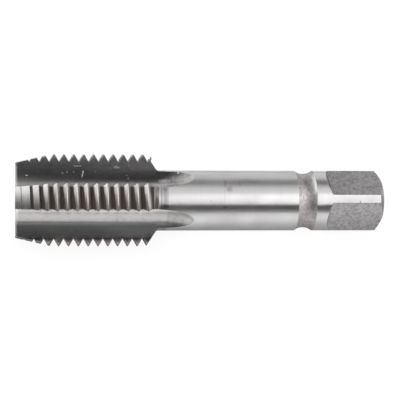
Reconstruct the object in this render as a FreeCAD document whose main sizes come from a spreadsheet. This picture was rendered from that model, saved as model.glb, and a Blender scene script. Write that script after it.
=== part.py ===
import FreeCAD, Part
import Sketcher
import os

# Straight-flute hand tap with a coarse right-hand M42 x 4.5 thread, one solid of tool steel.
# The axis of the tap is X: the cutting tip is at X = 0 and the square drive ends the part.
# The four lands stand at 45 degrees to Y and Z, so the flats of the square face Y and Z.

# Independent sizes, in millimetres and degrees.
SIZES = [
    ("overall_length", "170"),
    ("thread_diameter", "42.3"),
    ("thread_pitch", "4.5"),
    ("thread_half_angle", "30"),
    ("thread_crest_width", "0.5"),
    ("thread_root_width", "0.12"),
    ("thread_groove_offset", "2.2"),
    ("thread_length", "59.7"),
    ("tip_diameter", "34.65"),
    ("lead_angle", "13.2"),
    ("back_cone_angle", "56"),
    ("foot_cone_angle", "20"),
    ("foot_cone_length", "0.8"),
    ("flute_count", "4"),
    ("flute_radius", "10.15"),
    ("core_diameter", "22"),
    ("flute_length", "63.1"),
    ("flute_cutter_radius", "55"),
    ("shank_diameter", "28"),
    ("neck_start", "129"),
    ("neck_width", "8.6"),
    ("neck_depth", "1.45"),
    ("square_across_flats", "22.2"),
    ("square_length", "27.2"),
    ("square_cutter_radius", "17.5"),
    ("drive_chamfer_length", "2.5"),
    ("drive_end_diameter", "20.6"),
    ("centre_mouth_diameter", "8.5"),
    ("centre_pilot_diameter", "4"),
    ("centre_pilot_depth", "8"),
    ("centre_cone_half_angle", "30"),
    ("centre_point_half_angle", "59"),
    ("cut_overrun", "1.5"),
    ("thread_overrun", "0.3"),
]

# Sizes that follow from the independent ones.
DERIVED = [
    ("thread_radius", "=thread_diameter / 2"),
    ("flank_slope", "=tan(thread_half_angle)"),
    ("flank_width", "=(thread_pitch - thread_crest_width - thread_root_width) / 2"),
    ("root_radius", "=thread_radius - flank_width / flank_slope"),
    ("groove_mouth_radius", "=thread_radius + thread_overrun"),
    ("groove_root_half", "=thread_root_width / 2"),
    ("groove_mouth_half", "=groove_root_half + flank_width + thread_overrun * flank_slope"),
    ("groove_start", "=thread_groove_offset - 2 * thread_pitch"),
    ("groove_mouth_left", "=groove_start - groove_mouth_half"),
    ("groove_mouth_right", "=groove_start + groove_mouth_half"),
    ("groove_root_left", "=groove_start - groove_root_half"),
    ("groove_root_right", "=groove_start + groove_root_half"),
    ("tip_radius", "=tip_diameter / 2"),
    ("lead_length", "=(thread_radius - tip_radius) / tan(lead_angle)"),
    ("shank_radius", "=shank_diameter / 2"),
    ("foot_radius", "=shank_radius + foot_cone_length * tan(foot_cone_angle)"),
    ("foot_start", "=thread_length + (thread_radius - foot_radius) / tan(back_cone_angle)"),
    ("shank_start", "=foot_start + foot_cone_length"),
    ("groove_travel", "=shank_start + thread_pitch - groove_start"),
    ("core_radius", "=core_diameter / 2"),
    ("flute_axis_height", "=core_radius + flute_radius"),
    ("flute_start", "=-cut_overrun"),
    ("flute_cut_length", "=flute_length + cut_overrun"),
    ("flute_cutter_axis_height", "=core_radius + flute_cutter_radius"),
    ("neck_circle_radius", "=(neck_width * neck_width / 4 + neck_depth * neck_depth) / (2 * neck_depth)"),
    ("neck_centre_x", "=neck_start + neck_width / 2"),
    ("neck_centre_height", "=shank_radius - neck_depth + neck_circle_radius"),
    ("flat_height", "=square_across_flats / 2"),
    ("flat_cut_depth", "=shank_radius + cut_overrun - flat_height"),
    ("square_apex", "=overall_length - square_length"),
    ("square_cutter_x", "=square_apex + square_cutter_radius"),
    ("drive_end_radius", "=drive_end_diameter / 2"),
    ("drive_chamfer_start", "=overall_length - drive_chamfer_length"),
    ("centre_mouth_radius", "=centre_mouth_diameter / 2"),
    ("centre_pilot_radius", "=centre_pilot_diameter / 2"),
    ("centre_cone_depth", "=(centre_mouth_radius - centre_pilot_radius) / tan(centre_cone_half_angle)"),
    ("centre_hole_depth", "=centre_pilot_depth + centre_pilot_radius / tan(centre_point_half_angle)"),
    ("drive_cone_end", "=overall_length - centre_cone_depth"),
    ("drive_pilot_end", "=overall_length - centre_pilot_depth"),
    ("drive_hole_end", "=overall_length - centre_hole_depth"),
]

SHEET_NAME = "Sizes"
FULL_TURN = 360.0
QUARTER_TURN = 90.0

# Indices of the axes and points of a sketch.
HORIZONTAL_AXIS_INDEX = -1
VERTICAL_AXIS_INDEX = -2
ORIGIN_POINT_INDICES = (-1, 1)
START_POINT_INDEX = 1
END_POINT_INDEX = 2
CENTRE_POINT_INDEX = 3


def make_sheet(document):
    sheet = document.addObject("Spreadsheet::Sheet", SHEET_NAME)
    for row, (alias, content) in enumerate(SIZES + DERIVED, start=1):
        sheet.set(f"A{row}", alias)
        sheet.set(f"B{row}", content)
        sheet.setAlias(f"B{row}", alias)
        document.recompute()
    return sheet


def origin_feature(body, role):
    for feature in body.Origin.OriginFeatures:
        if feature.Role == role:
            return feature
    raise ValueError(f"the origin of {body.Label} has no {role}")


def add_sketch(body, name, plane):
    sketch = body.newObject("Sketcher::SketchObject", name)
    sketch.AttachmentSupport = [(origin_feature(body, plane), "")]
    sketch.MapMode = "FlatFace"
    return sketch


def read_size(sheet, alias):
    return float(sheet.get(alias)) if alias else 0.0


def bind(sketch, kind, references, name, alias, sheet):
    """Add one dimension to a sketch and tie it to a size of the sheet."""
    index = sketch.addConstraint(Sketcher.Constraint(kind, *references, read_size(sheet, alias)))
    sketch.renameConstraint(index, name)
    sketch.setExpression(f"Constraints.{name}", f"{SHEET_NAME}.{alias}")


def place_point(sketch, point, name, x_alias, y_alias, sheet):
    """Hold a point of a sketch at two sizes from the origin; no size puts it on that axis."""
    if x_alias:
        bind(sketch, "DistanceX", (*ORIGIN_POINT_INDICES, *point), f"{name}_x", x_alias, sheet)
    else:
        sketch.addConstraint(Sketcher.Constraint("PointOnObject", *point, VERTICAL_AXIS_INDEX))
    if y_alias:
        bind(sketch, "DistanceY", (*ORIGIN_POINT_INDICES, *point), f"{name}_y", y_alias, sheet)
    else:
        sketch.addConstraint(Sketcher.Constraint("PointOnObject", *point, HORIZONTAL_AXIS_INDEX))


def draw_outline(sketch, corners, sheet):
    """Draw a closed outline of straight lines through named corners."""
    points = [
        FreeCAD.Vector(read_size(sheet, x_alias), read_size(sheet, y_alias), 0)
        for _, x_alias, y_alias in corners
    ]
    first = sketch.GeometryCount
    for start, end in zip(points, points[1:] + points[:1]):
        sketch.addGeometry(Part.LineSegment(start, end))
    count = len(points)
    for offset in range(count):
        following = first + (offset + 1) % count
        sketch.addConstraint(
            Sketcher.Constraint("Coincident", first + offset, END_POINT_INDEX, following, START_POINT_INDEX)
        )
    for offset, (name, x_alias, y_alias) in enumerate(corners):
        place_point(sketch, (first + offset, START_POINT_INDEX), name, x_alias, y_alias, sheet)


def draw_circle(sketch, name, x_alias, y_alias, radius_alias, sheet):
    """Draw a circle held by its centre and radius."""
    centre = FreeCAD.Vector(read_size(sheet, x_alias), read_size(sheet, y_alias), 0)
    normal = FreeCAD.Vector(0, 0, 1)
    index = sketch.addGeometry(Part.Circle(centre, normal, read_size(sheet, radius_alias)))
    place_point(sketch, (index, CENTRE_POINT_INDEX), name, x_alias, y_alias, sheet)
    bind(sketch, "Radius", (index,), f"{name}_radius", radius_alias, sheet)


def turn(body, kind, name, sketch):
    """Turn a sketch a full turn about the axis of the tap, to add or to remove metal."""
    feature = body.newObject(kind, name)
    feature.Profile = sketch
    feature.ReferenceAxis = (origin_feature(body, "X_Axis"), [""])
    feature.Angle = FULL_TURN
    return feature


def repeat_around(body, name, originals):
    """Repeat features once for each flute around the axis of the tap."""
    pattern = body.newObject("PartDesign::PolarPattern", name)
    pattern.Originals = originals
    pattern.Axis = (origin_feature(body, "X_Axis"), [""])
    pattern.Angle = FULL_TURN
    pattern.setExpression("Occurrences", f"{SHEET_NAME}.flute_count")
    body.Tip = pattern
    return pattern


def add_blank(body, sheet):
    """Turned blank: lead cone, thread cylinder, back cone and its foot, shank and chamfered end."""
    sketch = add_sketch(body, "BlankOutline", "XZ_Plane")
    draw_outline(
        sketch,
        [
            ("tip_centre", None, None),
            ("tip_edge", None, "tip_radius"),
            ("lead_end", "lead_length", "thread_radius"),
            ("thread_end", "thread_length", "thread_radius"),
            ("foot_edge", "foot_start", "foot_radius"),
            ("shank_edge", "shank_start", "shank_radius"),
            ("chamfer_edge", "drive_chamfer_start", "shank_radius"),
            ("drive_edge", "overall_length", "drive_end_radius"),
            ("drive_centre", "overall_length", None),
        ],
        sheet,
    )
    return turn(body, "PartDesign::Revolution", "Blank", sketch)


def add_neck(body, sheet):
    """Round-bottomed groove between the shank and the collar of the square."""
    sketch = add_sketch(body, "NeckOutline", "XZ_Plane")
    draw_circle(sketch, "neck", "neck_centre_x", "neck_centre_height", "neck_circle_radius", sheet)
    return turn(body, "PartDesign::Groove", "Neck", sketch)


def add_thread(body, sheet):
    """Single-start right-hand V thread, cut from before the tip until past the back cone."""
    sketch = add_sketch(body, "ThreadForm", "XZ_Plane")
    draw_outline(
        sketch,
        [
            ("mouth_left", "groove_mouth_left", "groove_mouth_radius"),
            ("root_left", "groove_root_left", "root_radius"),
            ("root_right", "groove_root_right", "root_radius"),
            ("mouth_right", "groove_mouth_right", "groove_mouth_radius"),
        ],
        sheet,
    )
    thread = body.newObject("PartDesign::SubtractiveHelix", "Thread")
    thread.Profile = sketch
    thread.ReferenceAxis = (origin_feature(body, "X_Axis"), [""])
    thread.Mode = "pitch-height-angle"
    thread.setExpression("Pitch", f"{SHEET_NAME}.thread_pitch")
    thread.setExpression("Height", f"{SHEET_NAME}.groove_travel")
    thread.LeftHanded = False
    thread.Reversed = False
    return thread


def add_flutes(body, sheet):
    """Four straight flutes with round floors, each run out on the radius of its cutter."""
    section = add_sketch(body, "FluteSection", "YZ_Plane")
    section.setExpression("AttachmentOffset.Base.z", f"{SHEET_NAME}.flute_start")
    draw_circle(section, "flute", None, "flute_axis_height", "flute_radius", sheet)
    straight = body.newObject("PartDesign::Pocket", "FluteStraight")
    straight.Profile = section
    straight.Type = "Length"
    straight.Reversed = True
    straight.setExpression("Length", f"{SHEET_NAME}.flute_cut_length")

    run_out = add_sketch(body, "FluteRunOut", "YZ_Plane")
    run_out.setExpression("AttachmentOffset.Base.z", f"{SHEET_NAME}.flute_length")
    draw_circle(run_out, "flute", None, "flute_axis_height", "flute_radius", sheet)
    axis_height = read_size(sheet, "flute_cutter_axis_height")
    axis_ends = [FreeCAD.Vector(x, axis_height, 0) for x in (0, read_size(sheet, "flute_radius"))]
    axis = run_out.addGeometry(Part.LineSegment(*axis_ends), True)
    place_point(run_out, (axis, START_POINT_INDEX), "cutter", None, "flute_cutter_axis_height", sheet)
    place_point(
        run_out, (axis, END_POINT_INDEX), "cutter_end", "flute_radius", "flute_cutter_axis_height", sheet
    )
    curved = body.newObject("PartDesign::Groove", "FluteCurve")
    curved.Profile = run_out
    curved.ReferenceAxis = (run_out, ["Axis0"])
    curved.Angle = QUARTER_TURN
    curved.Reversed = True
    return repeat_around(body, "Flutes", [straight, curved])


def add_square(body, sheet):
    """Driving square: each flat ends toward the shank in the arc of a disc cutter."""
    sketch = add_sketch(body, "FlatOutline", "XY_Plane")
    sketch.setExpression("AttachmentOffset.Base.z", f"{SHEET_NAME}.flat_height")
    draw_circle(sketch, "cutter", "square_cutter_x", None, "square_cutter_radius", sheet)
    flat = body.newObject("PartDesign::Pocket", "Flat")
    flat.Profile = sketch
    flat.Type = "Length"
    flat.Reversed = True
    flat.setExpression("Length", f"{SHEET_NAME}.flat_cut_depth")
    return repeat_around(body, "Square", [flat])


def add_tip_centre(body, sheet):
    """Centre hole in the tip face: a 60 degree cone that leads into a drilled pilot."""
    sketch = add_sketch(body, "TipCentreOutline", "XZ_Plane")
    draw_outline(
        sketch,
        [
            ("axis", None, None),
            ("mouth", None, "centre_mouth_radius"),
            ("cone_end", "centre_cone_depth", "centre_pilot_radius"),
            ("pilot_end", "centre_pilot_depth", "centre_pilot_radius"),
            ("point", "centre_hole_depth", None),
        ],
        sheet,
    )
    return turn(body, "PartDesign::Groove", "TipCentre", sketch)


def add_drive_centre(body, sheet):
    """The same centre hole in the face of the driving square."""
    sketch = add_sketch(body, "DriveCentreOutline", "XZ_Plane")
    draw_outline(
        sketch,
        [
            ("axis", "overall_length", None),
            ("mouth", "overall_length", "centre_mouth_radius"),
            ("cone_end", "drive_cone_end", "centre_pilot_radius"),
            ("pilot_end", "drive_pilot_end", "centre_pilot_radius"),
            ("point", "drive_hole_end", None),
        ],
        sheet,
    )
    return turn(body, "PartDesign::Groove", "DriveCentre", sketch)


def check_objects(document):
    """Stop if any object of the document is in error or any shape is null or invalid."""
    for item in document.Objects:
        if {"Invalid", "Error"} & set(item.State):
            raise ValueError(f"{item.Label} is not up to date: {item.State}")
        shape = getattr(item, "Shape", None)
        if item.isDerivedFrom("PartDesign::Feature") and (shape.isNull() or not shape.isValid()):
            raise ValueError(f"{item.Label} has no valid shape")


# Each step, and whether it adds metal to the tap or takes metal away.
STEPS = [
    (add_blank, True),
    (add_neck, False),
    (add_flutes, False),
    (add_thread, False),
    (add_square, False),
    (add_tip_centre, False),
    (add_drive_centre, False),
]


def build_tap(document):
    sheet = make_sheet(document)
    body = document.addObject("PartDesign::Body", "ThreadTap")
    body.Label = "thread_tap"
    volume = 0.0
    for step, adds_metal in STEPS:
        feature = step(body, sheet)
        body.Tip = feature
        document.recompute()
        new_volume = feature.Shape.Volume
        if (new_volume > volume) != adds_metal:
            raise ValueError(f"{feature.Label} works in the wrong direction")
        volume = new_volume
    return body


document = FreeCAD.newDocument("tap")
body = build_tap(document)
check_objects(document)
solids = body.Shape.Solids
if len(solids) != 1:
    raise ValueError(f"the tap is one solid, not {len(solids)}")
os.makedirs("parts", exist_ok=True)
body.Shape.exportStep("parts/thread_tap.step")
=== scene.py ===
import logging
import math
from dataclasses import dataclass, field
from enum import Enum

import bmesh
import bpy
from mathutils import Matrix, Vector

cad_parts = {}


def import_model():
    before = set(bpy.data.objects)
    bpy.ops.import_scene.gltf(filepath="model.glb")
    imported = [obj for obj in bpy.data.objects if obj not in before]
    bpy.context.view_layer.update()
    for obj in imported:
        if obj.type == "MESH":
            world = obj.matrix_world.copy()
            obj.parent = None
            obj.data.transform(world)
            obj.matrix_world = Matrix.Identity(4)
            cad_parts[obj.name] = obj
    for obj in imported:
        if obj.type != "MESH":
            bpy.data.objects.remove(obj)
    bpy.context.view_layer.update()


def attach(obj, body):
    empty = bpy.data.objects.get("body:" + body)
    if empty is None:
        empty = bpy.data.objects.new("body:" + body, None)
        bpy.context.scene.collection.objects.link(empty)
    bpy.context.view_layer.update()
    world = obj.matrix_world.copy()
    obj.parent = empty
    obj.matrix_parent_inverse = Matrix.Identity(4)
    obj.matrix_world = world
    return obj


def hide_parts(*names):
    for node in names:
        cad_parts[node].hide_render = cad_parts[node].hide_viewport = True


LOG = logging.getLogger("thread_tap")
NODE = "thread_tap"
BODY = "root"
MM = 0.001
FLOAT_SOCKET = "NodeSocketFloat"
VECTOR_SOCKET = "NodeSocketVector"
WHITE = (1.0, 1.0, 1.0, 1.0)
# A ray deeper than this has met more than one surface.
FIRST_BOUNCE = 1.5
# Turn of the highlight on marks that run round the axis, as a part of a full turn.
QUARTER_TURN = 0.25


class Zone(Enum):
    """Surfaces of the tap that one tool or one operation has left."""

    SHANK = 0
    FLUTE = 1
    LEADING_FLANK = 2
    TRAILING_FLANK = 3
    LEAD = 4
    CREST = 5
    FLAT = 6
    NECK = 7
    END = 8
    SHOULDER = 9
    FOOT = 10


@dataclass(frozen=True)
class TapSizes:
    """Sizes of the tap in millimetres, the same as those of the solid."""

    overall_length: float = 170.0
    thread_radius: float = 21.15
    thread_length: float = 59.7
    tip_radius: float = 17.325
    lead_length: float = 16.308
    foot_start: float = 64.326
    foot_radius: float = 14.291
    shank_radius: float = 14.0
    shank_start: float = 65.126
    flute_radius: float = 10.15
    flute_axis_height: float = 21.15
    flute_length: float = 63.1
    flute_cutter_radius: float = 55.0
    flute_run_out: float = 81.0
    neck_start: float = 129.0
    neck_width: float = 8.6
    square_start: float = 142.8
    chamfer_start: float = 167.5
    centre_mouth_radius: float = 4.25

    def blank_radius(self, x: float) -> float:
        """Radius of the turned blank under the thread.

        Args:
            x: Distance from the tip face, in millimetres.

        Returns:
            The radius of the blank there, in millimetres.
        """
        corners = ((0.0, self.tip_radius), (self.lead_length, self.thread_radius),
                   (self.thread_length, self.thread_radius), (self.foot_start, self.foot_radius),
                   (self.shank_start, self.shank_radius))
        for (left, low), (right, high) in zip(corners, corners[1:]):
            if x < right:
                return low + (high - low) * (x - left) / (right - left)
        return self.shank_radius

    def flute_distance(self, x: float, y: float, z: float) -> float:
        """Distance of a point from the wall of the nearest flute.

        Args:
            x: Distance from the tip face, in millimetres.
            y: Place across the tap, in millimetres.
            z: Height from the axis, in millimetres.

        Returns:
            The unsigned distance from the flute's wall, in millimetres.
        """
        height, side = (abs(z), abs(y)) if abs(z) >= abs(y) else (abs(y), abs(z))
        if x <= self.flute_length:
            return abs(math.hypot(side, height - self.flute_axis_height) - self.flute_radius)
        cutter_height = self.flute_axis_height - self.flute_radius + self.flute_cutter_radius
        ring = self.flute_cutter_radius - self.flute_radius
        reach = math.hypot(x - self.flute_length, height - cutter_height)
        return abs(math.hypot(side, reach - ring) - self.flute_radius)


class Lay(Enum):
    """Which way the tool marks of a surface run."""

    NONE = "none"
    AROUND = "around the axis"


class NodeTree:
    """Short calls for adding, setting and linking the nodes of one tree."""

    def __init__(self, tree: bpy.types.NodeTree) -> None:
        """Keep the tree.

        Args:
            tree: The node tree to fill.
        """
        self.tree = tree

    def link(self, value: object, socket: bpy.types.NodeSocket) -> None:
        """Link an output socket to an input socket, or set the input to a plain value.

        Args:
            value: The output socket or the plain value.
            socket: The input socket.
        """
        if isinstance(value, bpy.types.NodeSocket):
            self.tree.links.new(value, socket)
        else:
            socket.default_value = value

    def add(self, kind: str, inputs: dict | None = None, **settings: object) -> bpy.types.Node:
        """Add a node and set it up.

        Args:
            kind: Blender's name for the kind of node.
            inputs: Values or output sockets for its inputs, by name or index.
            settings: Values for the node's own properties.

        Returns:
            The new node.
        """
        node = self.tree.nodes.new(kind)
        for name, value in settings.items():
            setattr(node, name, value)
        for key, value in (inputs or {}).items():
            self.link(value, node.inputs[key])
        return node

    def shared(self, group: bpy.types.NodeTree, **inputs: object) -> bpy.types.Node:
        """Add a shared node group, with values or sockets for its inputs, and return its node."""
        return self.add("ShaderNodeGroup", inputs, node_tree=group)

    def math(self, operation: str, *values: object) -> bpy.types.NodeSocket:
        """Add a Math node and return its output."""
        return self.add("ShaderNodeMath", dict(enumerate(values)), operation=operation).outputs[0]

    def vector(self, operation: str, *values: object) -> bpy.types.Node:
        """Add a Vector Math node and return it."""
        return self.add("ShaderNodeVectorMath", dict(enumerate(values)), operation=operation)

    def place(self) -> bpy.types.NodeSocket:
        """Add the place on the object, in metres from its origin, and return it."""
        return self.add("ShaderNodeTexCoord").outputs["Object"]

    def apart(self) -> dict[str, bpy.types.NodeSocket]:
        """Add the three parts of the place on the object and return them by axis."""
        parts = self.add("ShaderNodeSeparateXYZ", {0: self.place()}).outputs
        return {axis: parts[axis] for axis in "XYZ"}

    def axis_distance(self) -> bpy.types.NodeSocket:
        """Add the distance from the axis of the tap, in metres, and return it."""
        across = self.vector("MULTIPLY", self.place(), (0.0, 1.0, 1.0))
        return self.vector("LENGTH", across.outputs[0]).outputs["Value"]

    def axis_angle(self) -> bpy.types.NodeSocket:
        """Add the angle round the axis, in radians from the front over the top, and return it."""
        parts = self.apart()
        return self.math("ARCTAN2", parts["Z"], self.math("MULTIPLY", parts["Y"], -1.0))

    def noise(self, vector: object, scale: object, detail: float, roughness: float = 0.5,
              seed: object | None = None) -> bpy.types.NodeSocket:
        """Add a noise texture.

        Args:
            vector: Where it is read.
            scale: How many features it has to a metre.
            detail: How many finer layers it has.
            roughness: How strong its finer layers are.
            seed: Where it is read along a fourth axis, or None for noise of three axes.

        Returns:
            The socket of the noise, from 0 to 1.
        """
        inputs = {"Vector": vector, "Scale": scale, "Detail": detail, "Roughness": roughness}
        if seed is None:
            return self.add("ShaderNodeTexNoise", inputs).outputs["Fac"]
        inputs["W"] = seed
        return self.add("ShaderNodeTexNoise", inputs, noise_dimensions="4D").outputs["Fac"]

    def span(self, value: object, low: object, high: object, to_low: object = 0.0,
             to_high: object = 1.0) -> bpy.types.NodeSocket:
        """Map a value smoothly from one range to another.

        Args:
            value: The value or socket to map.
            low: Start of the range it is read in.
            high: End of the range it is read in.
            to_low: Result at the start.
            to_high: Result at the end.

        Returns:
            The socket of the mapped value.
        """
        inputs = {"Value": value, "From Min": low, "From Max": high,
                  "To Min": to_low, "To Max": to_high}
        node = self.add("ShaderNodeMapRange", inputs, interpolation_type="SMOOTHSTEP")
        return node.outputs["Result"]

    def mix(self, share: object, first: object, second: object) -> bpy.types.NodeSocket:
        """Mix two colours by a share and return the colour."""
        inputs = {0: share, 6: first, 7: second}
        return self.add("ShaderNodeMix", inputs, data_type="RGBA").outputs[2]


def new_group(name: str, inputs: dict, outputs: dict
              ) -> tuple[NodeTree, bpy.types.Node, bpy.types.Node]:
    """Start a shader node group with named sockets.

    Args:
        name: Name of the group.
        inputs: Default values of its inputs, by name.
        outputs: Socket kinds of its outputs, by name.

    Returns:
        The group's tree, its input node and its output node.
    """
    group = bpy.data.node_groups.new(name, "ShaderNodeTree")
    for label, value in inputs.items():
        socket = group.interface.new_socket(label, in_out="INPUT", socket_type=FLOAT_SOCKET)
        socket.default_value = value
    for label, kind in outputs.items():
        group.interface.new_socket(label, in_out="OUTPUT", socket_type=kind)
    given = group.nodes.new("NodeGroupInput")
    result = group.nodes.new("NodeGroupOutput")
    return NodeTree(group), given, result


def new_material(name: str) -> tuple[bpy.types.Material, NodeTree]:
    """Start a material with no nodes.

    Args:
        name: Name of the material.

    Returns:
        The material and its tree.
    """
    made = bpy.data.materials.new(name)
    made.use_nodes = True
    made.node_tree.nodes.clear()
    return made, NodeTree(made.node_tree)


@dataclass(frozen=True)
class Marks:
    """Node groups that the finishes share: lines, grain, worn edges with a painted highlight,
    films, stains and spots.

    Lengths are in metres, scales count features to a metre, and a span is the start and end of
    a smooth change.
    """

    coarse_share: float = 0.28
    speckle_span: tuple[float, float] = (0.36, 0.66)
    worn_and_highlit_span: tuple[float, float] = (0.99, 0.8)
    worn_samples: int = 4
    film_scale: float = 260.0
    film_patch_depth: float = 0.0008
    ring_scale: float = 1500.0
    ring_edge: float = 0.0004
    ring_gap: float = 0.65
    patch_span: tuple[float, float] = (0.35, 0.65)
    heel_span: tuple[float, float] = (0.66, 0.34)
    stain_scale: float = 500.0
    stain_edge: float = 0.0003
    stain_span: tuple[float, float] = (0.3, 0.7)
    stain_share: tuple[float, float] = (0.7, 1.0)
    outer_stain: float = 0.45
    spot_scale: float = 1800.0
    spot_reach: float = 1.2

    def grind_lines(self) -> bpy.types.NodeTree:
        """Fine parallel tool lines across the axis of the tap.

        Returns:
            A group with the inputs Lines, Waver and Seed, and the output Height.
        """
        tree, given, result = new_group("grind_lines", {"Lines": 900.0, "Waver": 6.0, "Seed": 0.0},
                                        {"Height": FLOAT_SOCKET})
        waver = given.outputs["Waver"]
        stretch = tree.add("ShaderNodeCombineXYZ", {0: given.outputs["Lines"], 1: waver, 2: waver})
        drawn = tree.vector("MULTIPLY", tree.place(), stretch.outputs[0])
        fine = tree.noise(drawn.outputs[0], 1.0, 4.0, 0.65, given.outputs["Seed"])
        tree.link(fine, result.inputs["Height"])
        return tree.tree

    def grain(self) -> bpy.types.NodeTree:
        """Even fine grain, as blasting or pickling leaves.

        Returns:
            A group with the inputs Scale and Seed, and the outputs Height and Speckle.
        """
        tree, given, result = new_group("grain", {"Scale": 2500.0, "Seed": 0.0},
                                        {"Height": FLOAT_SOCKET, "Speckle": FLOAT_SOCKET})
        place = tree.place()
        scale, seed = given.outputs["Scale"], given.outputs["Seed"]
        fine = tree.noise(place, scale, 3.0, 0.7, seed)
        coarse = tree.noise(place, tree.math("MULTIPLY", scale, self.coarse_share), 2.0, 0.6, seed)
        both = tree.math("MULTIPLY_ADD", coarse, 0.5, tree.math("MULTIPLY", fine, 0.5))
        tree.link(fine, result.inputs["Height"])
        tree.link(tree.span(both, *self.speckle_span), result.inputs["Speckle"])
        return tree.tree

    def worn_and_highlit_edge(self) -> bpy.types.NodeTree:
        """Rounded edges: a mask along them, which the finishes lighten as wear and as a painted
        highlight, and the normal of their rounding.

        Returns:
            A group with the input Radius, and the outputs Mask and Normal.
        """
        tree, given, result = new_group("worn_and_highlit_edge", {"Radius": 0.00012},
                                        {"Mask": FLOAT_SOCKET, "Normal": VECTOR_SOCKET})
        bevel = tree.add("ShaderNodeBevel", {"Radius": given.outputs["Radius"]},
                         samples=self.worn_samples)
        true = tree.add("ShaderNodeNewGeometry").outputs["Normal"]
        turned = tree.vector("DOT_PRODUCT", bevel.outputs[0], true)
        tree.link(tree.span(turned.outputs["Value"], *self.worn_and_highlit_span), result.inputs["Mask"])
        tree.link(bevel.outputs[0], result.inputs["Normal"])
        return tree.tree

    def root_film(self) -> bpy.types.NodeTree:
        """Dark film that the quench left in the bottom of the thread.

        Returns:
            A group with the inputs Bottom and Top, both distances from the axis in metres, Rise,
            which lifts both, and the output Mask.
        """
        tree, given, result = new_group("root_film", {"Bottom": 0.018, "Top": 0.019, "Rise": 0.0},
                                        {"Mask": FLOAT_SOCKET})
        patches = tree.noise(tree.place(), self.film_scale, 3.0)
        lift = tree.math("ADD", given.outputs["Rise"], self.film_patch_depth / 2)
        lowered = tree.math("SUBTRACT", tree.axis_distance(), lift)
        moved = tree.math("MULTIPLY_ADD", patches, self.film_patch_depth, lowered)
        mask = tree.span(moved, given.outputs["Bottom"], given.outputs["Top"], 1.0, 0.0)
        tree.link(mask, result.inputs["Mask"])
        return tree.tree

    def rough_band(self) -> bpy.types.NodeTree:
        """Ring across the tap that the wheel has left coarser.

        Returns:
            A group with the inputs Start and End, both distances from the tip in metres, and
            Contrast, how much the lines in it stand out, and the output Mask.
        """
        tree, given, result = new_group("rough_band",
                                        {"Start": 0.065, "End": 0.069, "Contrast": 1.0},
                                        {"Mask": FLOAT_SOCKET})
        along = tree.apart()["X"]
        sides = [tree.span(side, -self.ring_edge, self.ring_edge)
                 for side in (tree.math("SUBTRACT", along, given.outputs["Start"]),
                              tree.math("SUBTRACT", given.outputs["End"], along))]
        lines = tree.add("ShaderNodeTexNoise",
                         {"W": tree.math("MULTIPLY", along, self.ring_scale), "Scale": 1.0,
                          "Detail": 3.0}, noise_dimensions="1D").outputs["Fac"]
        gap = tree.math("MULTIPLY", tree.span(lines, *self.patch_span, self.ring_gap, 0.0),
                        given.outputs["Contrast"])
        share = tree.math("SUBTRACT", 1.0, gap)
        tree.link(tree.math("MULTIPLY", tree.math("MULTIPLY", *sides), share),
                  result.inputs["Mask"])
        return tree.tree

    def heel_side(self) -> bpy.types.NodeTree:
        """How close a place on a land is to the heel, away from the cutting edge.

        Returns:
            A group with the output Mask, 1 at the heel and 0 at the cutting edge.
        """
        tree, _, result = new_group("heel_side", {}, {"Mask": FLOAT_SOCKET})
        quarter = tree.math("FRACT", tree.math("DIVIDE", tree.axis_angle(), math.pi / 2))
        tree.link(tree.span(quarter, *self.heel_span), result.inputs["Mask"])
        return tree.tree

    def edge_stain(self, heel_side: bpy.types.NodeTree) -> bpy.types.NodeTree:
        """Dark stain that cutting has left on the teeth, next to the cutting edges.

        Args:
            heel_side: The group that tells the heel of a land from its cutting edge.

        Returns:
            A group with the inputs Inner and Outer, the distances from the axis in metres between
            which it lies, and the output Mask.
        """
        tree, given, result = new_group("edge_stain", {"Inner": 0.018, "Outer": 0.0206},
                                        {"Mask": FLOAT_SOCKET})
        radius = tree.axis_distance()
        patches = tree.noise(tree.place(), self.stain_scale, 3.0)
        share = tree.span(patches, *self.stain_span, *self.stain_share)
        inner = tree.span(tree.math("SUBTRACT", radius, given.outputs["Inner"]),
                          -self.stain_edge, self.stain_edge)
        outer = tree.span(tree.math("SUBTRACT", given.outputs["Outer"], radius),
                          -self.stain_edge, self.stain_edge, self.outer_stain, 1.0)
        cutting = tree.math("SUBTRACT", 1.0, tree.shared(heel_side).outputs["Mask"])
        ring = tree.math("MULTIPLY", tree.math("MULTIPLY", inner, outer), share)
        tree.link(tree.math("MULTIPLY", ring, cutting), result.inputs["Mask"])
        return tree.tree

    def spots(self, name: str, marks: tuple[tuple[float, ...], ...], raggedness: float, core: float
              ) -> bpy.types.NodeTree:
        """Nicks, scuffs, smears, painted highlights and painted shade at given places.

        Args:
            name: Name of the group.
            marks: For each spot its centre and its half sizes along X, Y and Z, in millimetres,
                and how strong it is, from 0 to 1.
            raggedness: How broken the outline of the spots is, as a share of their size.
            core: Where they start to fade, as a share of their size.

        Returns:
            A group with the output Mask.
        """
        tree, _, result = new_group(name, {}, {"Mask": FLOAT_SOCKET})
        place = tree.place()
        broken = tree.span(tree.noise(place, self.spot_scale, 2.0), *self.patch_span, 0.0,
                           raggedness)
        mask = 0.0
        for x, y, z, half_x, half_y, half_z, strength in marks:
            centre = (x * MM, y * MM, z * MM)
            halves = (half_x * MM, half_y * MM, half_z * MM)
            offset = tree.vector("SUBTRACT", place, centre)
            scaled = tree.vector("DIVIDE", offset.outputs[0], halves)
            away = tree.math("ADD", tree.vector("LENGTH", scaled.outputs[0]).outputs["Value"],
                             broken)
            spot = tree.span(away, self.spot_reach, core, 0.0, strength)
            mask = tree.math("MAXIMUM", mask, spot)
        tree.link(mask, result.inputs["Mask"])
        return tree.tree

    def groups(self) -> dict[str, bpy.types.NodeTree]:
        """Make the shared groups, all but the spots.

        Returns:
            The groups, by name.
        """
        heel_side = self.heel_side()
        return {"grind_lines": self.grind_lines(), "grain": self.grain(),
                "worn_and_highlit_edge": self.worn_and_highlit_edge(), "root_film": self.root_film(),
                "rough_band": self.rough_band(), "heel_side": heel_side,
                "edge_stain": self.edge_stain(heel_side)}


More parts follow.
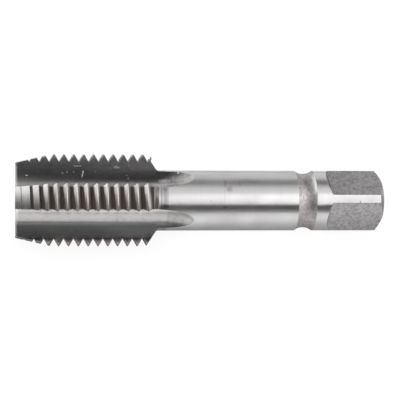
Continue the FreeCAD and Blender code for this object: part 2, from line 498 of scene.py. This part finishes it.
@dataclass(frozen=True)
class SteelFinish:
    """Bare steel as one operation has left it, with some light and shade painted into its colour.

    Lengths are in metres, scales count features to a metre, a span is the start and end of a
    smooth change, an outline says how ragged a mark is and where it starts to fade, and the
    other values are levels or shares.
    """

    name: str
    color: tuple[float, float, float]
    dark_color: tuple[float, float, float]
    roughness: float
    roughness_spread: float = 0.06
    lines: float = 0.0
    waver: float = 6.0
    line_depth: float = 0.0
    grain_scale: float = 0.0
    grain_depth: float = 0.0
    speckle: float = 0.0
    cloud: float = 0.35
    cloud_scale: float = 90.0
    cloud_span: tuple[float, float] = (0.35, 0.7)
    roughness_span: tuple[float, float] = (0.3, 0.7)
    edge_radius: float = 0.00012
    edge_gain: float = 0.5
    streak: float = 0.12
    streak_span: tuple[float, float] = (0.35, 0.65)
    film: tuple[float, float] | None = None
    film_color: tuple[float, float, float] = (0.2, 0.175, 0.16)
    band: tuple[float, float] | None = None
    band_gain: float = 1.1
    band_contrast: float = 1.0
    stain: tuple[float, float] | None = None
    heel: float = 0.0
    heel_film: float = 0.0
    nicks: tuple[tuple[float, ...], ...] = ()
    smears_and_painted_light: tuple[tuple[float, ...], ...] = ()
    nick_color: tuple[float, float, float] = (0.86, 0.86, 0.86)
    smear_and_painted_light_color: tuple[float, float, float] = (0.86, 0.86, 0.86)
    nick_outline: tuple[float, float] = (0.5, 0.6)
    smear_and_painted_light_outline: tuple[float, float] = (0.1, 0.0)
    mark_roughness: float = 0.75
    lay: Lay = Lay.NONE
    anisotropy: float = 0.0

    def relief(self, tree: NodeTree, groups: dict[str, bpy.types.NodeTree],
               cloud: bpy.types.NodeSocket
               ) -> tuple[bpy.types.NodeSocket, bpy.types.NodeSocket]:
        """Add the clouds, grain, tool lines, and the worn edges with their painted highlight.

        Args:
            tree: The material's tree.
            groups: The shared node groups, by name.
            cloud: Large soft variation, from 0 to 1.

        Returns:
            How dark the steel is, from 0 to 1, and its normal.
        """
        edge = tree.shared(groups["worn_and_highlit_edge"], Radius=self.edge_radius)
        normal = edge.outputs["Normal"]
        tone = tree.math("MULTIPLY", tree.span(cloud, *self.cloud_span), self.cloud)
        if self.grain_scale:
            grain = tree.shared(groups["grain"], Scale=self.grain_scale).outputs
            if self.grain_depth:
                normal = self.bump(tree, grain["Height"], self.grain_depth, normal)
            speckle = tree.math("MULTIPLY", grain["Speckle"], self.speckle)
            tone = tree.math("ADD", tone, speckle)
        if self.lines:
            height = tree.shared(groups["grind_lines"], Lines=self.lines,
                                 Waver=self.waver).outputs["Height"]
            normal = self.bump(tree, height, self.line_depth, normal)
            streak = tree.span(height, *self.streak_span, -self.streak, self.streak)
            tone = tree.math("ADD", tone, streak)
        # Edges are painted lighter here: partly wear, partly a painted highlight.
        shine = tree.math("MULTIPLY", edge.outputs["Mask"], self.edge_gain)
        tone = tree.math("SUBTRACT", tone, shine)
        if self.band:
            start, end = self.band
            band = tree.shared(groups["rough_band"], Start=start, End=end,
                               Contrast=self.band_contrast).outputs["Mask"]
            tone = tree.math("ADD", tone, tree.math("MULTIPLY", band, self.band_gain))
        if self.heel:
            heel = tree.shared(groups["heel_side"]).outputs["Mask"]
            tone = tree.math("ADD", tone, tree.math("MULTIPLY", heel, self.heel))
        return tree.span(tone, 0.0, 1.0), normal

    @staticmethod
    def bump(tree: NodeTree, height: bpy.types.NodeSocket, depth: float,
             normal: bpy.types.NodeSocket) -> bpy.types.NodeSocket:
        """Add a bump of a given depth in metres over a normal and return the new normal."""
        return tree.add("ShaderNodeBump", {"Height": height, "Normal": normal, "Distance": depth,
                                           "Strength": 1.0}).outputs[0]

    def dirt_and_painted_light(self, tree: NodeTree, groups: dict[str, bpy.types.NodeTree],
             color: bpy.types.NodeSocket, rough: bpy.types.NodeSocket
             ) -> tuple[bpy.types.NodeSocket, bpy.types.NodeSocket]:
        """Lay the film, the stain, the nicks, and the smears with painted highlights and painted
        shade over the steel.

        Args:
            tree: The material's tree.
            groups: The shared node groups, by name.
            color: Colour of the clean steel.
            rough: Roughness of the clean steel.

        Returns:
            The colour and the roughness of the steel with all of these laid on.
        """
        film_color = (*self.film_color, 1.0)
        if self.film:
            bottom, top = self.film
            rise = 0.0
            if self.heel_film:
                heel = tree.shared(groups["heel_side"]).outputs["Mask"]
                rise = tree.math("MULTIPLY", heel, self.heel_film)
            film = tree.shared(groups["root_film"], Bottom=bottom, Top=top, Rise=rise)
            color = tree.mix(film.outputs["Mask"], color, film_color)
        if self.stain:
            inner, outer = self.stain
            stain = tree.shared(groups["edge_stain"], Inner=inner, Outer=outer)
            color = tree.mix(stain.outputs["Mask"], color, film_color)
        # The smears include painted highlights and painted shade as well as real smears.
        for kind, marks, outline, tint in (
                ("nicks", self.nicks, self.nick_outline, self.nick_color),
                ("smears_and_painted_light", self.smears_and_painted_light, self.smear_and_painted_light_outline, self.smear_and_painted_light_color)):
            if marks:
                group = Marks().spots(self.name + "_" + kind, marks, *outline)
                mask = tree.shared(group).outputs["Mask"]
                color = tree.mix(mask, color, (*tint, 1.0))
                marked = tree.math("MULTIPLY", mask, self.mark_roughness)
                rough = tree.math("MAXIMUM", rough, marked)
        return color, rough

    def material(self, groups: dict[str, bpy.types.NodeTree]) -> bpy.types.Material:
        """Make the material of this finish.

        Args:
            groups: The shared node groups, by name.

        Returns:
            The material.
        """
        made, tree = new_material(self.name)
        cloud = tree.noise(tree.place(), self.cloud_scale, 5.0, 0.6)
        tone, normal = self.relief(tree, groups, cloud)
        rough = tree.span(cloud, *self.roughness_span, self.roughness - self.roughness_spread,
                          self.roughness + self.roughness_spread)
        color = tree.mix(tone, (*self.color, 1.0), (*self.dark_color, 1.0))
        color, rough = self.dirt_and_painted_light(tree, groups, color, rough)
        shader = tree.add("ShaderNodeBsdfPrincipled", {"Base Color": color, "Roughness": rough,
                                                       "Normal": normal, "Metallic": 1.0})
        if self.lay is Lay.AROUND:
            around = tree.add("ShaderNodeTangent", direction_type="RADIAL", axis="X")
            tree.link(around.outputs[0], shader.inputs["Tangent"])
            shader.inputs["Anisotropic"].default_value = self.anisotropy
            shader.inputs["Anisotropic Rotation"].default_value = QUARTER_TURN
        tree.add("ShaderNodeOutputMaterial", {"Surface": shader.outputs[0]})
        return made


# Marks on the steel, painted highlights and painted shade: for each, its centre and its half
# sizes along X, Y and Z, in millimetres, and how strong it is, from 0 to 1.
FLUTE_NICKS = (
    (5.1, 3.68, 11.7, 0.8, 0.35, 0.5, 0.8),
    (3.14, 3.62, 11.68, 0.35, 0.4, 0.5, 0.3),
    (7.4, 5.3, 12.5, 0.25, 0.7, 0.6, 0.25),
    (18.75, 4.4, 12.0, 0.3, 0.6, 0.6, 0.3),
    (21.2, 4.8, 12.2, 0.7, 0.35, 0.6, 0.5),
    (23.4, 5.1, 12.4, 0.5, 0.5, 0.6, 0.45),
    (26.4, 5.2, 12.4, 0.6, 0.5, 0.6, 0.4),
    (30.6, 5.1, 12.4, 0.35, 0.9, 1.0, 1.0),
    (30.25, 3.9, 11.85, 0.35, 1.0, 1.0, 0.9),
    (29.98, 3.0, 11.45, 0.3, 0.6, 0.8, 0.6),
    (28.0, 7.4, 14.2, 3.2, 0.25, 0.3, 0.5),
    (24.4, 7.87, 14.75, 0.35, 0.35, 0.4, 0.35),
    (45.9, 7.1, 13.9, 2.2, 0.9, 1.1, 0.38),
    (36.0, 5.4, 12.7, 0.25, 1.2, 1.0, 0.4),
    (51.3, 7.6, 14.5, 0.25, 1.0, 1.2, 0.35),
    (50.5, 3.78, 11.74, 0.3, 0.7, 0.5, 0.6),
    (51.1, 2.3, 11.25, 0.5, 0.4, 0.5, 0.8),
    (71.7, 2.4, 12.0, 0.3, 1.9, 0.9, 0.35),
    (71.0, 0.6, 11.6, 1.2, 0.4, 0.5, 0.3),
    (74.2, 4.25, 13.1, 0.6, 0.55, 0.6, 1.0),
)
# The first is a painted highlight along the tip's edge, the second a pale smear and painted
# highlight on the upper run-out, the third a long pale patch on the lower flute.
FLUTE_SMEARS_AND_PAINTED_HIGHLIGHTS = (
    (0.0, 0.0, 0.0, 1.8, 40.0, 40.0, 0.8),
    (67.8, 0.6, 11.1, 6.5, 2.9, 1.8, 0.6),
    (46.0, -12.4, -5.1, 17.0, 2.4, 3.2, 0.2),
)
SHANK_SCUFFS = (
    (94.6, -12.3, 6.69, 1.5, 0.7, 1.2, 0.45),
    (96.8, -6.4, 12.44, 2.1, 2.1, 1.6, 0.5),
    (95.1, -3.6, 13.5, 0.5, 3.0, 1.8, 0.5),
    (101.8, -4.0, 13.4, 0.35, 1.9, 1.2, 0.45),
    (94.4, -6.0, 10.0, 0.15, 12.0, 12.0, 0.3),
    (88.2, -10.6, 9.1, 0.5, 0.5, 0.5, 0.5),
    (67.0, -6.3, 12.5, 1.7, 1.7, 1.2, 0.55),
    (67.0, -12.2, 6.8, 2.3, 1.3, 2.2, 0.8),
    (157.7, -10.8, 8.9, 0.35, 0.5, 0.5, 0.8),
)
SHOULDER_RINGS = (
    (61.7, 0.0, 0.0, 0.6, 40.0, 40.0, 0.7),
)
# A pit, and two dark patches on the neck.
NECK_PIT_AND_DARK_PATCHES = (
    (131.25, -8.5, 9.6, 0.45, 0.6, 0.6, 0.8),
    (132.3, -1.4, 12.6, 2.6, 3.4, 1.6, 0.4),
    (136.2, -11.2, 6.9, 1.7, 2.6, 4.0, 0.4),
)
# Painted highlight: a bright crescent on the neck, where the groove reflects light.
NECK_PAINTED_HIGHLIGHT = (
    (137.3, -3.2, 13.3, 1.5, 9.0, 4.0, 0.8),
)
SHANK_SMEARS = (
    (158.5, -9.9, 9.9, 22.0, 4.0, 4.0, 0.3),
)
# Painted shade: dark lines on the flats next to the walls where they start.
FLAT_EDGE_PAINTED_SHADE = (
    (144.4, 0.4, 11.1, 0.7, 14.0, 1.5, 0.6),
    (144.2, -11.1, 4.0, 0.6, 1.5, 14.0, 0.35),
)

FINISHES = {
    Zone.SHANK: SteelFinish(
        "ground_shank", (0.67, 0.66, 0.66), (0.39, 0.375, 0.375), 0.35, cloud=0.12, lines=2600.0,
        waver=14.0, line_depth=0.000001, band=(0.0651, 0.0688), nicks=SHANK_SCUFFS,
        nick_color=(0.24, 0.23, 0.23), smears_and_painted_light=SHANK_SMEARS, smear_and_painted_light_color=(0.1, 0.1, 0.1),
        lay=Lay.AROUND, anisotropy=0.99),
    Zone.FLUTE: SteelFinish(
        "milled_flute", (0.53, 0.52, 0.52), (0.25, 0.23, 0.225), 0.21, roughness_spread=0.015,
        grain_scale=1800.0, speckle=0.28, cloud=0.14, stain=(0.018, 0.0206),
        film_color=(0.168, 0.148, 0.143), band=(0.0688, 0.09), band_gain=0.24, band_contrast=0.1,
        nicks=FLUTE_NICKS, smears_and_painted_light=FLUTE_SMEARS_AND_PAINTED_HIGHLIGHTS),
    # Both flanks are one ground steel; the leading flanks are painted light and the trailing
    # flanks painted shade through their colours.
    Zone.LEADING_FLANK: SteelFinish(
        "leading_flank", (0.88, 0.84, 0.835), (0.5, 0.46, 0.45), 0.55, lines=5000.0, waver=60.0,
        line_depth=0.000004, film=(0.0186, 0.0194), heel=0.8, heel_film=0.0011, lay=Lay.AROUND,
        anisotropy=0.9),
    Zone.TRAILING_FLANK: SteelFinish(
        "trailing_flank", (0.4, 0.375, 0.37), (0.2, 0.175, 0.17), 0.36, lines=5000.0, waver=60.0,
        line_depth=0.000004, film=(0.0188, 0.0202), lay=Lay.AROUND, anisotropy=0.6),
    Zone.LEAD: SteelFinish(
        "ground_lead", (0.82, 0.81, 0.805), (0.42, 0.41, 0.405), 0.33, lines=1400.0, waver=40.0,
        line_depth=0.0000004, cloud=0.2, heel=0.6, lay=Lay.AROUND, anisotropy=0.75),
    Zone.CREST: SteelFinish(
        "ground_crest", (0.72, 0.705, 0.7), (0.5, 0.485, 0.48), 0.42, lines=1400.0, waver=40.0,
        line_depth=0.000001, heel=0.5, lay=Lay.AROUND, anisotropy=0.9),
    # The smears on the flats are painted shade, in the dark smear colour.
    Zone.FLAT: SteelFinish(
        "blasted_flat", (0.49, 0.48, 0.48), (0.26, 0.25, 0.25), 0.46, grain_scale=2700.0,
        grain_depth=0.00003, speckle=0.85, cloud=0.08, smears_and_painted_light=FLAT_EDGE_PAINTED_SHADE,
        smear_and_painted_light_color=(0.1, 0.095, 0.095)),
    # The neck's smear is a painted highlight, its light colour standing in for a bright
    # reflection.
    Zone.NECK: SteelFinish(
        "pitted_neck", (0.52, 0.5, 0.495), (0.25, 0.23, 0.225), 0.52, grain_scale=2300.0,
        grain_depth=0.00003, speckle=0.65, cloud=0.12, nicks=NECK_PIT_AND_DARK_PATCHES,
        nick_color=(0.15, 0.14, 0.14), smears_and_painted_light=NECK_PAINTED_HIGHLIGHT, smear_and_painted_light_color=(0.95, 0.94, 0.93)),
    Zone.END: SteelFinish(
        "turned_end", (0.52, 0.515, 0.51), (0.3, 0.29, 0.285), 0.34, lines=1200.0, waver=1200.0,
        line_depth=0.000003),
    Zone.SHOULDER: SteelFinish(
        "turned_shoulder", (0.36, 0.34, 0.335), (0.06, 0.053, 0.05), 0.42, lines=800.0,
        waver=40.0, line_depth=0.000012, streak=1.4, nicks=SHOULDER_RINGS,
        nick_color=(0.1, 0.09, 0.085), lay=Lay.AROUND, anisotropy=0.6),
    Zone.FOOT: SteelFinish(
        "turned_foot", (0.3, 0.29, 0.29), (0.2, 0.19, 0.19), 0.42, lay=Lay.AROUND, anisotropy=0.6),
}


@dataclass
class TapBody:
    """The steel of the tap, with each surface in the finish of its operation.

    The slacks are in millimetres, and the slopes are parts of a face's normal, from 0 to 1. Each
    ring of the burr is its place along X, its distance from the axis and its radius.
    """

    sizes: TapSizes = field(default_factory=TapSizes)
    merge_distance: float = 1e-6
    smooth_angle: float = math.radians(18)
    normal_weight: int = 80
    slack: float = 0.12
    centre_slack: float = 0.1
    centre_reach: float = 15.0
    end_slack: float = 0.2
    chamfer_slack: float = 0.3
    neck_slack: float = 0.02
    run_out_slack: float = 0.05
    end_slope: float = 0.4
    round_slope: float = 0.99
    turned_slope: float = 0.9
    burr_sides: int = 8
    burr_side: tuple[float, float] = (0.663, 0.749)
    burr: tuple[tuple[float, float, float], ...] = (
        (61.3, 17.0, 0.6), (61.6, 18.2, 0.55), (62.0, 19.1, 0.42), (62.1, 19.65, 0.36),
        (61.6, 20.0, 0.3), (60.9, 19.85, 0.14))

    def zone(self, face: bmesh.types.BMFace) -> Zone:
        """Find which operation has made a face.

        Args:
            face: A face of the tap's mesh, in metres.

        Returns:
            The zone of the face.
        """
        s = self.sizes
        x, y, z = (value / MM for value in face.calc_center_median())
        radius = math.hypot(y, z)
        outward = (face.normal.y * y + face.normal.z * z) / max(radius, 0.001)
        near_end = x < self.centre_reach or x > s.overall_length - self.centre_reach
        if near_end and radius < s.centre_mouth_radius + self.centre_slack:
            return Zone.END
        faces_end = abs(face.normal.x) > self.end_slope
        if x < self.end_slack and faces_end:
            return Zone.END
        if x > s.chamfer_start + self.chamfer_slack and faces_end:
            return Zone.FLAT
        cut_back = outward < self.round_slope or radius < s.shank_radius - self.slack
        if x > s.square_start - self.end_slack and cut_back:
            return Zone.FLAT
        in_neck = s.neck_start < x < s.neck_start + s.neck_width
        if in_neck and radius < s.shank_radius - self.neck_slack:
            return Zone.NECK
        sunk = radius < s.shank_radius - self.run_out_slack or outward < self.turned_slope
        if x < s.flute_run_out and s.flute_distance(x, y, z) < self.slack and sunk:
            return Zone.FLUTE
        if x > s.shank_start:
            return Zone.SHANK
        if x > s.foot_start:
            return Zone.FOOT
        if x > s.thread_length and abs(radius - s.blank_radius(x)) < self.slack:
            return Zone.SHOULDER
        if outward > self.turned_slope and abs(radius - s.blank_radius(x)) < self.slack:
            return Zone.LEAD if x < s.lead_length else Zone.CREST
        return Zone.LEADING_FLANK if face.normal.x < 0.0 else Zone.TRAILING_FLANK

    def add_burr(self, shape: bmesh.types.BMesh) -> None:
        """Curl the small burr off the last partial crest, above the run-out of the thread.

        Args:
            shape: The tap's mesh, in metres.
        """
        out = Vector((0.0, self.burr_side[0], self.burr_side[1]))
        first_x, first_height, first_half = self.burr[0]
        made = bmesh.ops.create_circle(shape, cap_ends=True, segments=self.burr_sides,
                                       radius=first_half * MM)
        across = Matrix.Rotation(math.atan2(-out.y, out.z), 3, "X")
        bmesh.ops.rotate(shape, verts=made["verts"], matrix=across)
        start = Vector((first_x * MM, 0.0, 0.0)) + first_height * MM * out
        bmesh.ops.translate(shape, verts=made["verts"], vec=start)
        faces = list({face for vert in made["verts"] for face in vert.link_faces})
        for (x, height, half), (last_x, last_height, last_half) in zip(self.burr[1:], self.burr):
            grown = bmesh.ops.extrude_face_region(shape, geom=faces)["geom"]
            bmesh.ops.delete(shape, geom=faces, context="FACES_ONLY")
            verts = [part for part in grown if isinstance(part, bmesh.types.BMVert)]
            faces = [part for part in grown if isinstance(part, bmesh.types.BMFace)]
            step = Vector(((x - last_x) * MM, 0.0, 0.0)) + (height - last_height) * MM * out
            middle = Vector((last_x * MM, 0.0, 0.0)) + last_height * MM * out
            bmesh.ops.scale(shape, verts=verts, vec=(half / last_half,) * 3,
                            space=Matrix.Translation(-middle))
            bmesh.ops.translate(shape, verts=verts, vec=step)

    def build(self, node: bpy.types.Object, materials: list[bpy.types.Material]
              ) -> bpy.types.Object:
        """Make the piece from the solid's own mesh.

        Args:
            node: The solid's object.
            materials: One material for each zone, in the order of the zones.

        Returns:
            The finished piece.
        """
        shape = bmesh.new()
        shape.from_mesh(node.data)
        bmesh.ops.remove_doubles(shape, verts=shape.verts, dist=self.merge_distance)
        self.add_burr(shape)
        bmesh.ops.recalc_face_normals(shape, faces=shape.faces)
        for edge in shape.edges:
            edge.smooth = edge.calc_face_angle(math.pi) < self.smooth_angle
        for face in shape.faces:
            face.material_index = self.zone(face).value
            face.smooth = True
        for edge in shape.edges:
            if len({face.material_index for face in edge.link_faces}) > 1:
                edge.smooth = False
        mesh = bpy.data.meshes.new("tap_steel")
        shape.to_mesh(mesh)
        counts = {zone.name: 0 for zone in Zone}
        for face in shape.faces:
            counts[Zone(face.material_index).name] += 1
        shape.free()
        for made in materials:
            mesh.materials.append(made)
        piece = bpy.data.objects.new("tap_steel", mesh)
        bpy.context.collection.objects.link(piece)
        weighted = piece.modifiers.new("weighted_normals", "WEIGHTED_NORMAL")
        weighted.keep_sharp = True
        weighted.weight = self.normal_weight
        LOG.info("tap_steel: %s", counts)
        return piece


@dataclass(frozen=True)
class PhotoCamera:
    """Camera at the photograph's viewing angle.

    Lengths are in metres, angles in degrees, and the lens and sensor in millimetres.
    """

    foot_x: float = 0.00366
    distance: float = 0.61104
    elevation: float = 41.5
    yaw: float = 7.578
    lens: float = 119.52
    sensor: float = 36.0
    clip: tuple[float, float] = (0.01, 50.0)
    rise: float = 0.00016
    roll: float = 0.1

    def build(self) -> bpy.types.Object:
        """Place the camera and make it the scene's own.

        Returns:
            The camera.
        """
        tilt = math.radians(self.elevation)
        toward = Vector((0.0, -math.cos(tilt), math.sin(tilt)))
        up = Vector((0.0, math.sin(tilt), math.cos(tilt)))
        turn = math.radians(self.yaw)
        right = Vector((math.cos(turn), 0.0, 0.0)) + math.sin(turn) * toward
        back = math.cos(turn) * toward - Vector((math.sin(turn), 0.0, 0.0))
        place = Vector((self.foot_x, 0.0, 0.0)) + self.distance * toward + self.rise * up
        lens = bpy.data.cameras.new("photo_camera")
        lens.lens = self.lens
        lens.sensor_width = self.sensor
        lens.clip_start, lens.clip_end = self.clip
        camera = bpy.data.objects.new("photo_camera", lens)
        rows = Matrix((right, up, back)).transposed()
        turned = rows @ Matrix.Rotation(math.radians(self.roll), 3, "Z")
        camera.matrix_world = Matrix.Translation(place) @ turned.to_4x4()
        bpy.context.collection.objects.link(camera)
        bpy.context.scene.camera = camera
        return camera


def stage_mesh(name: str, shape: bmesh.types.BMesh, made: bpy.types.Material
               ) -> bpy.types.Object:
    """Turn a bmesh into a staged object.

    Args:
        name: Name of the object.
        shape: Its mesh, which is freed.
        made: Its material.

    Returns:
        The object.
    """
    mesh = bpy.data.meshes.new(name)
    shape.to_mesh(mesh)
    shape.free()
    mesh.materials.append(made)
    piece = bpy.data.objects.new(name, mesh)
    bpy.context.collection.objects.link(piece)
    return piece


@dataclass(frozen=True)
class Panel:
    """Graded panel of the light tent, bent round the axis of the tap; lengths in metres.

    Each light level stands after its angle in degrees, up from the front horizon and over the
    top. The fill lifts what is mirrored a second time.
    """

    name: str
    left: float
    right: float
    levels: tuple[tuple[float, float], ...]
    reach: float = 0.95
    steps: int = 36
    fill_angles: tuple[float, float] = (20.0, 50.0)
    fill_levels: tuple[float, float] = (3.0, 0.9)

    def material(self) -> bpy.types.Material:
        """Make the glow of the panel.

        Returns:
            The material.
        """
        low, high = self.levels[0][0], self.levels[-1][0]
        peak = max(level for _, level in self.levels)
        made, tree = new_material(self.name)
        angle = tree.axis_angle()
        share = tree.add("ShaderNodeMapRange", {"Value": angle, "From Min": math.radians(low),
                                                "From Max": math.radians(high)})
        ramp = tree.add("ShaderNodeValToRGB", {"Fac": share.outputs["Result"]})
        stops = ramp.color_ramp.elements
        for index, (degrees, level) in enumerate(self.levels):
            spot = (degrees - low) / (high - low)
            stop = stops[index] if index < len(stops) else stops.new(spot)
            stop.position = spot
            stop.color = (level / peak, level / peak, level / peak, 1.0)
        fill = tree.span(angle, *(math.radians(degrees) for degrees in self.fill_angles),
                         *self.fill_levels)
        bounces = tree.add("ShaderNodeLightPath").outputs["Ray Depth"]
        second = tree.math("MULTIPLY", tree.math("GREATER_THAN", bounces, FIRST_BOUNCE), fill)
        strength = tree.math("MAXIMUM", tree.math("MULTIPLY", ramp.outputs["Color"], peak), second)
        glow = tree.add("ShaderNodeEmission", {"Color": WHITE, "Strength": strength})
        tree.add("ShaderNodeOutputMaterial", {"Surface": glow.outputs[0]})
        return made

    def build(self) -> bpy.types.Object:
        """Bend the panel, out of the camera's sight.

        Returns:
            The panel.
        """
        low, high = math.radians(self.levels[0][0]), math.radians(self.levels[-1][0])
        shape = bmesh.new()
        ends = [shape.verts.new((x, -self.reach, 0.0)) for x in (self.left, self.right)]
        edge = shape.edges.new(ends)
        bmesh.ops.rotate(shape, verts=shape.verts, matrix=Matrix.Rotation(-low, 3, "X"))
        bmesh.ops.spin(shape, geom=[*ends, edge], axis=(1.0, 0.0, 0.0), steps=self.steps,
                       angle=low - high)
        piece = stage_mesh(self.name, shape, self.material())
        piece.visible_camera = False
        piece.visible_diffuse = False
        piece.visible_shadow = False
        return piece


# Levels that the two front panels share, from 35 degrees up over the top to the back.
FRONT_TOP = (
    (35.0, 0.09), (42.0, 0.06), (70.0, 0.03), (112.0, 0.03), (128.0, 0.06), (139.0, 0.15),
    (150.0, 0.4), (165.0, 0.8))

PANELS = (
    Panel("front_panel_of_thread", -0.045, 0.155, (
        (-1.2, 0.55), (2.0, 0.5), (6.0, 0.28), (10.0, 0.18), (16.0, 0.14), (27.0, 0.12),
        *FRONT_TOP)),
    Panel("front_panel_of_shank", 0.155, 0.33, (
        (-1.2, 0.1), (9.0, 0.16), (17.0, 0.18), (25.0, 0.14), *FRONT_TOP)),
    Panel("edge_panel", -0.2, -0.045, (
        (-1.2, 0.2), (10.0, 0.1), (30.0, 0.12), (70.0, 0.1), (90.0, 0.12), (104.0, 0.25),
        (117.0, 0.75), (137.0, 1.2), (156.0, 1.2))),
    Panel("near_tip_side_panel", -0.33, -0.2, (
        (-1.2, 0.1), (10.0, 0.08), (25.0, 0.3), (45.0, 0.7), (70.0, 0.7), (83.0, 1.0),
        (99.0, 1.0), (117.0, 1.1), (137.0, 1.4), (156.0, 1.4))),
    Panel("tip_side_panel", -0.8, -0.33, (
        (-1.2, 0.1), (10.0, 0.05), (25.0, 0.08), (36.0, 0.17), (48.0, 0.28), (59.0, 0.5),
        (71.0, 0.75), (83.0, 1.2), (99.0, 1.0), (117.0, 0.8), (137.0, 1.0), (156.0, 1.0))),
    Panel("far_tip_side_panel", -3.2, -0.8, (
        (-1.2, 0.1), (10.0, 0.05), (25.0, 0.08), (36.0, 0.2), (48.0, 0.6), (62.0, 1.6),
        (75.0, 2.6), (105.0, 2.6), (120.0, 1.2), (156.0, 1.0))),
    Panel("drive_side_panel", 0.33, 2.3, (
        (-1.2, 0.05), (9.0, 0.02), (22.0, 0.02), (27.0, 2.3), (33.0, 3.1), (56.0, 3.6),
        (67.0, 3.0), (72.0, 1.8), (90.0, 1.55), (100.0, 1.2), (113.0, 0.15), (129.0, 0.15),
        (138.0, 1.2), (160.0, 1.2))),
)


@dataclass(frozen=True)
class Studio:
    """White table and room around the tap; lengths in metres.

    The camera sees a plain white table. Shades, fades and levels are for the table as the steel
    mirrors it, with a painted shadow of the tap near it, painted shade in front of the flutes and
    far away, and painted light for rays mirrored a second time: of a shade pair the first value
    holds at the thread and the second at the shank, a fade is the start and end of a smooth
    change, and a level of 1 is plain white.
    """

    rest_front: tuple[float, float] = (0.0597, -0.0187)
    rest_back: tuple[float, float] = (0.1428, -0.014)
    floor_size: float = 3.0
    floor_cells: int = 8
    floor_tone: float = 0.15
    floor_glow: float = 0.9
    shank_fade: tuple[float, float] = (0.056, 0.07)
    shade_start: tuple[float, float] = (0.0135, 0.004)
    shade_end: tuple[float, float] = (0.02, 0.036)
    shade_level: tuple[float, float] = (0.08, 0.27)
    open_level: float = 1.05
    far_fade: tuple[float, float] = (0.11, 0.27)
    far_level: float = 0.01
    flute_middle: float = 0.015
    flute_fade: tuple[float, float] = (0.07, 0.11)
    flute_shade: float = 0.76
    front_fade: tuple[float, float] = (-0.03, -0.16)
    second_fade: tuple[float, float] = (0.06, 0.16)
    second_gain: tuple[float, float] = (1.6, 0.6)
    world_strength: float = 0.8

    def mirrored_floor(self, tree: NodeTree, path: bpy.types.Node) -> bpy.types.NodeSocket:
        """Add how bright the table looks in the steel, with its painted shadow, shade and light.

        Args:
            tree: The floor material's tree.
            path: Its Light Path node.

        Returns:
            The level, 0 for a ray that isn't mirrored.
        """
        parts = tree.apart()
        away = tree.math("ABSOLUTE", parts["Y"])
        shank = tree.span(parts["X"], *self.shank_fade)
        start, end, level = (tree.span(shank, 0.0, 1.0, *pair)
                             for pair in (self.shade_start, self.shade_end, self.shade_level))
        # Painted shadow of the tap on the mirrored table, darkest close to it.
        near = tree.span(away, start, end, level, self.open_level)
        # Further out the mirrored table is painted dark.
        under = tree.math("MULTIPLY", near, tree.span(away, *self.far_fade, 1.0, self.far_level))
        # Painted shadow: a darker band in front of the middle of the flutes.
        beside = tree.math("ABSOLUTE", tree.math("SUBTRACT", parts["X"], self.flute_middle))
        middle = tree.math("MULTIPLY", tree.span(beside, *self.flute_fade, self.flute_shade, 0.0),
                           tree.span(parts["Y"], *self.front_fade))
        under = tree.math("MULTIPLY", under, tree.math("SUBTRACT", 1.0, middle))
        mirrored = tree.math("MULTIPLY", under, tree.math("MAXIMUM", path.outputs["Is Glossy Ray"],
                                                          path.outputs["Is Transmission Ray"]))
        # Painted light: rays mirrored a second time see the table brighter.
        second = tree.math("GREATER_THAN", path.outputs["Ray Depth"], FIRST_BOUNCE)
        again = tree.math("MULTIPLY", second,
                          tree.span(away, *self.second_fade, *self.second_gain))
        return tree.math("MULTIPLY", mirrored, tree.math("ADD", again, 1.0))

    def floor(self) -> bpy.types.Object:
        """Lay the table against the two places that the tap rests on.

        Returns:
            The floor.
        """
        made, tree = new_material("white_table")
        path = tree.add("ShaderNodeLightPath")
        seen = tree.math("MAXIMUM", path.outputs["Is Camera Ray"], self.mirrored_floor(tree, path))
        tone = (self.floor_tone, self.floor_tone, self.floor_tone, 1.0)
        paint = tree.add("ShaderNodeBsdfDiffuse", {"Color": tone})
        strength = tree.math("MULTIPLY", seen, self.floor_glow)
        glow = tree.add("ShaderNodeEmission", {"Color": WHITE, "Strength": strength})
        both = tree.add("ShaderNodeAddShader", {0: paint.outputs[0], 1: glow.outputs[0]})
        tree.add("ShaderNodeOutputMaterial", {"Surface": both.outputs[0]})
        shape = bmesh.new()
        bmesh.ops.create_grid(shape, x_segments=self.floor_cells, y_segments=self.floor_cells,
                              size=self.floor_size)
        rise = self.rest_back[1] - self.rest_front[1]
        run = self.rest_back[0] - self.rest_front[0]
        tilt = Matrix.Rotation(-math.atan2(rise, run), 4, "Y")
        foot = Vector((self.rest_front[0], 0.0, self.rest_front[1]))
        bmesh.ops.transform(shape, matrix=Matrix.Translation(foot) @ tilt, verts=shape.verts)
        return stage_mesh("floor", shape, made)

    def world(self) -> None:
        """Surround the tap with white that metal shows as it is."""
        made = bpy.data.worlds.new("white_room")
        made.use_nodes = True
        made.node_tree.nodes.clear()
        tree = NodeTree(made.node_tree)
        path = tree.add("ShaderNodeLightPath")
        mirrored = tree.math("MAXIMUM", path.outputs["Is Glossy Ray"],
                             path.outputs["Is Transmission Ray"])
        seen = tree.math("MAXIMUM", path.outputs["Is Camera Ray"], mirrored)
        strength = tree.math("MULTIPLY_ADD", seen, 1.0 - self.world_strength, self.world_strength)
        back = tree.add("ShaderNodeBackground", {"Color": WHITE, "Strength": strength})
        tree.add("ShaderNodeOutputWorld", {"Surface": back.outputs[0]})
        bpy.context.scene.world = made

    def build(self) -> None:
        """Set up the whole studio."""
        self.world()
        self.floor()
        for panel in PANELS:
            panel.build()
        bpy.context.scene.view_settings.view_transform = "Standard"


def main() -> None:
    """Build the tap, its finishes, the camera and the studio."""
    logging.basicConfig(level=logging.INFO, format="%(name)s: %(message)s")
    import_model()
    groups = Marks().groups()
    materials = [FINISHES[zone].material(groups) for zone in Zone]
    tap = TapBody().build(bpy.data.objects[NODE], materials)
    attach(tap, BODY)
    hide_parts(NODE)
    PhotoCamera().build()
    Studio().build()


if __name__ == "__main__":
    main()
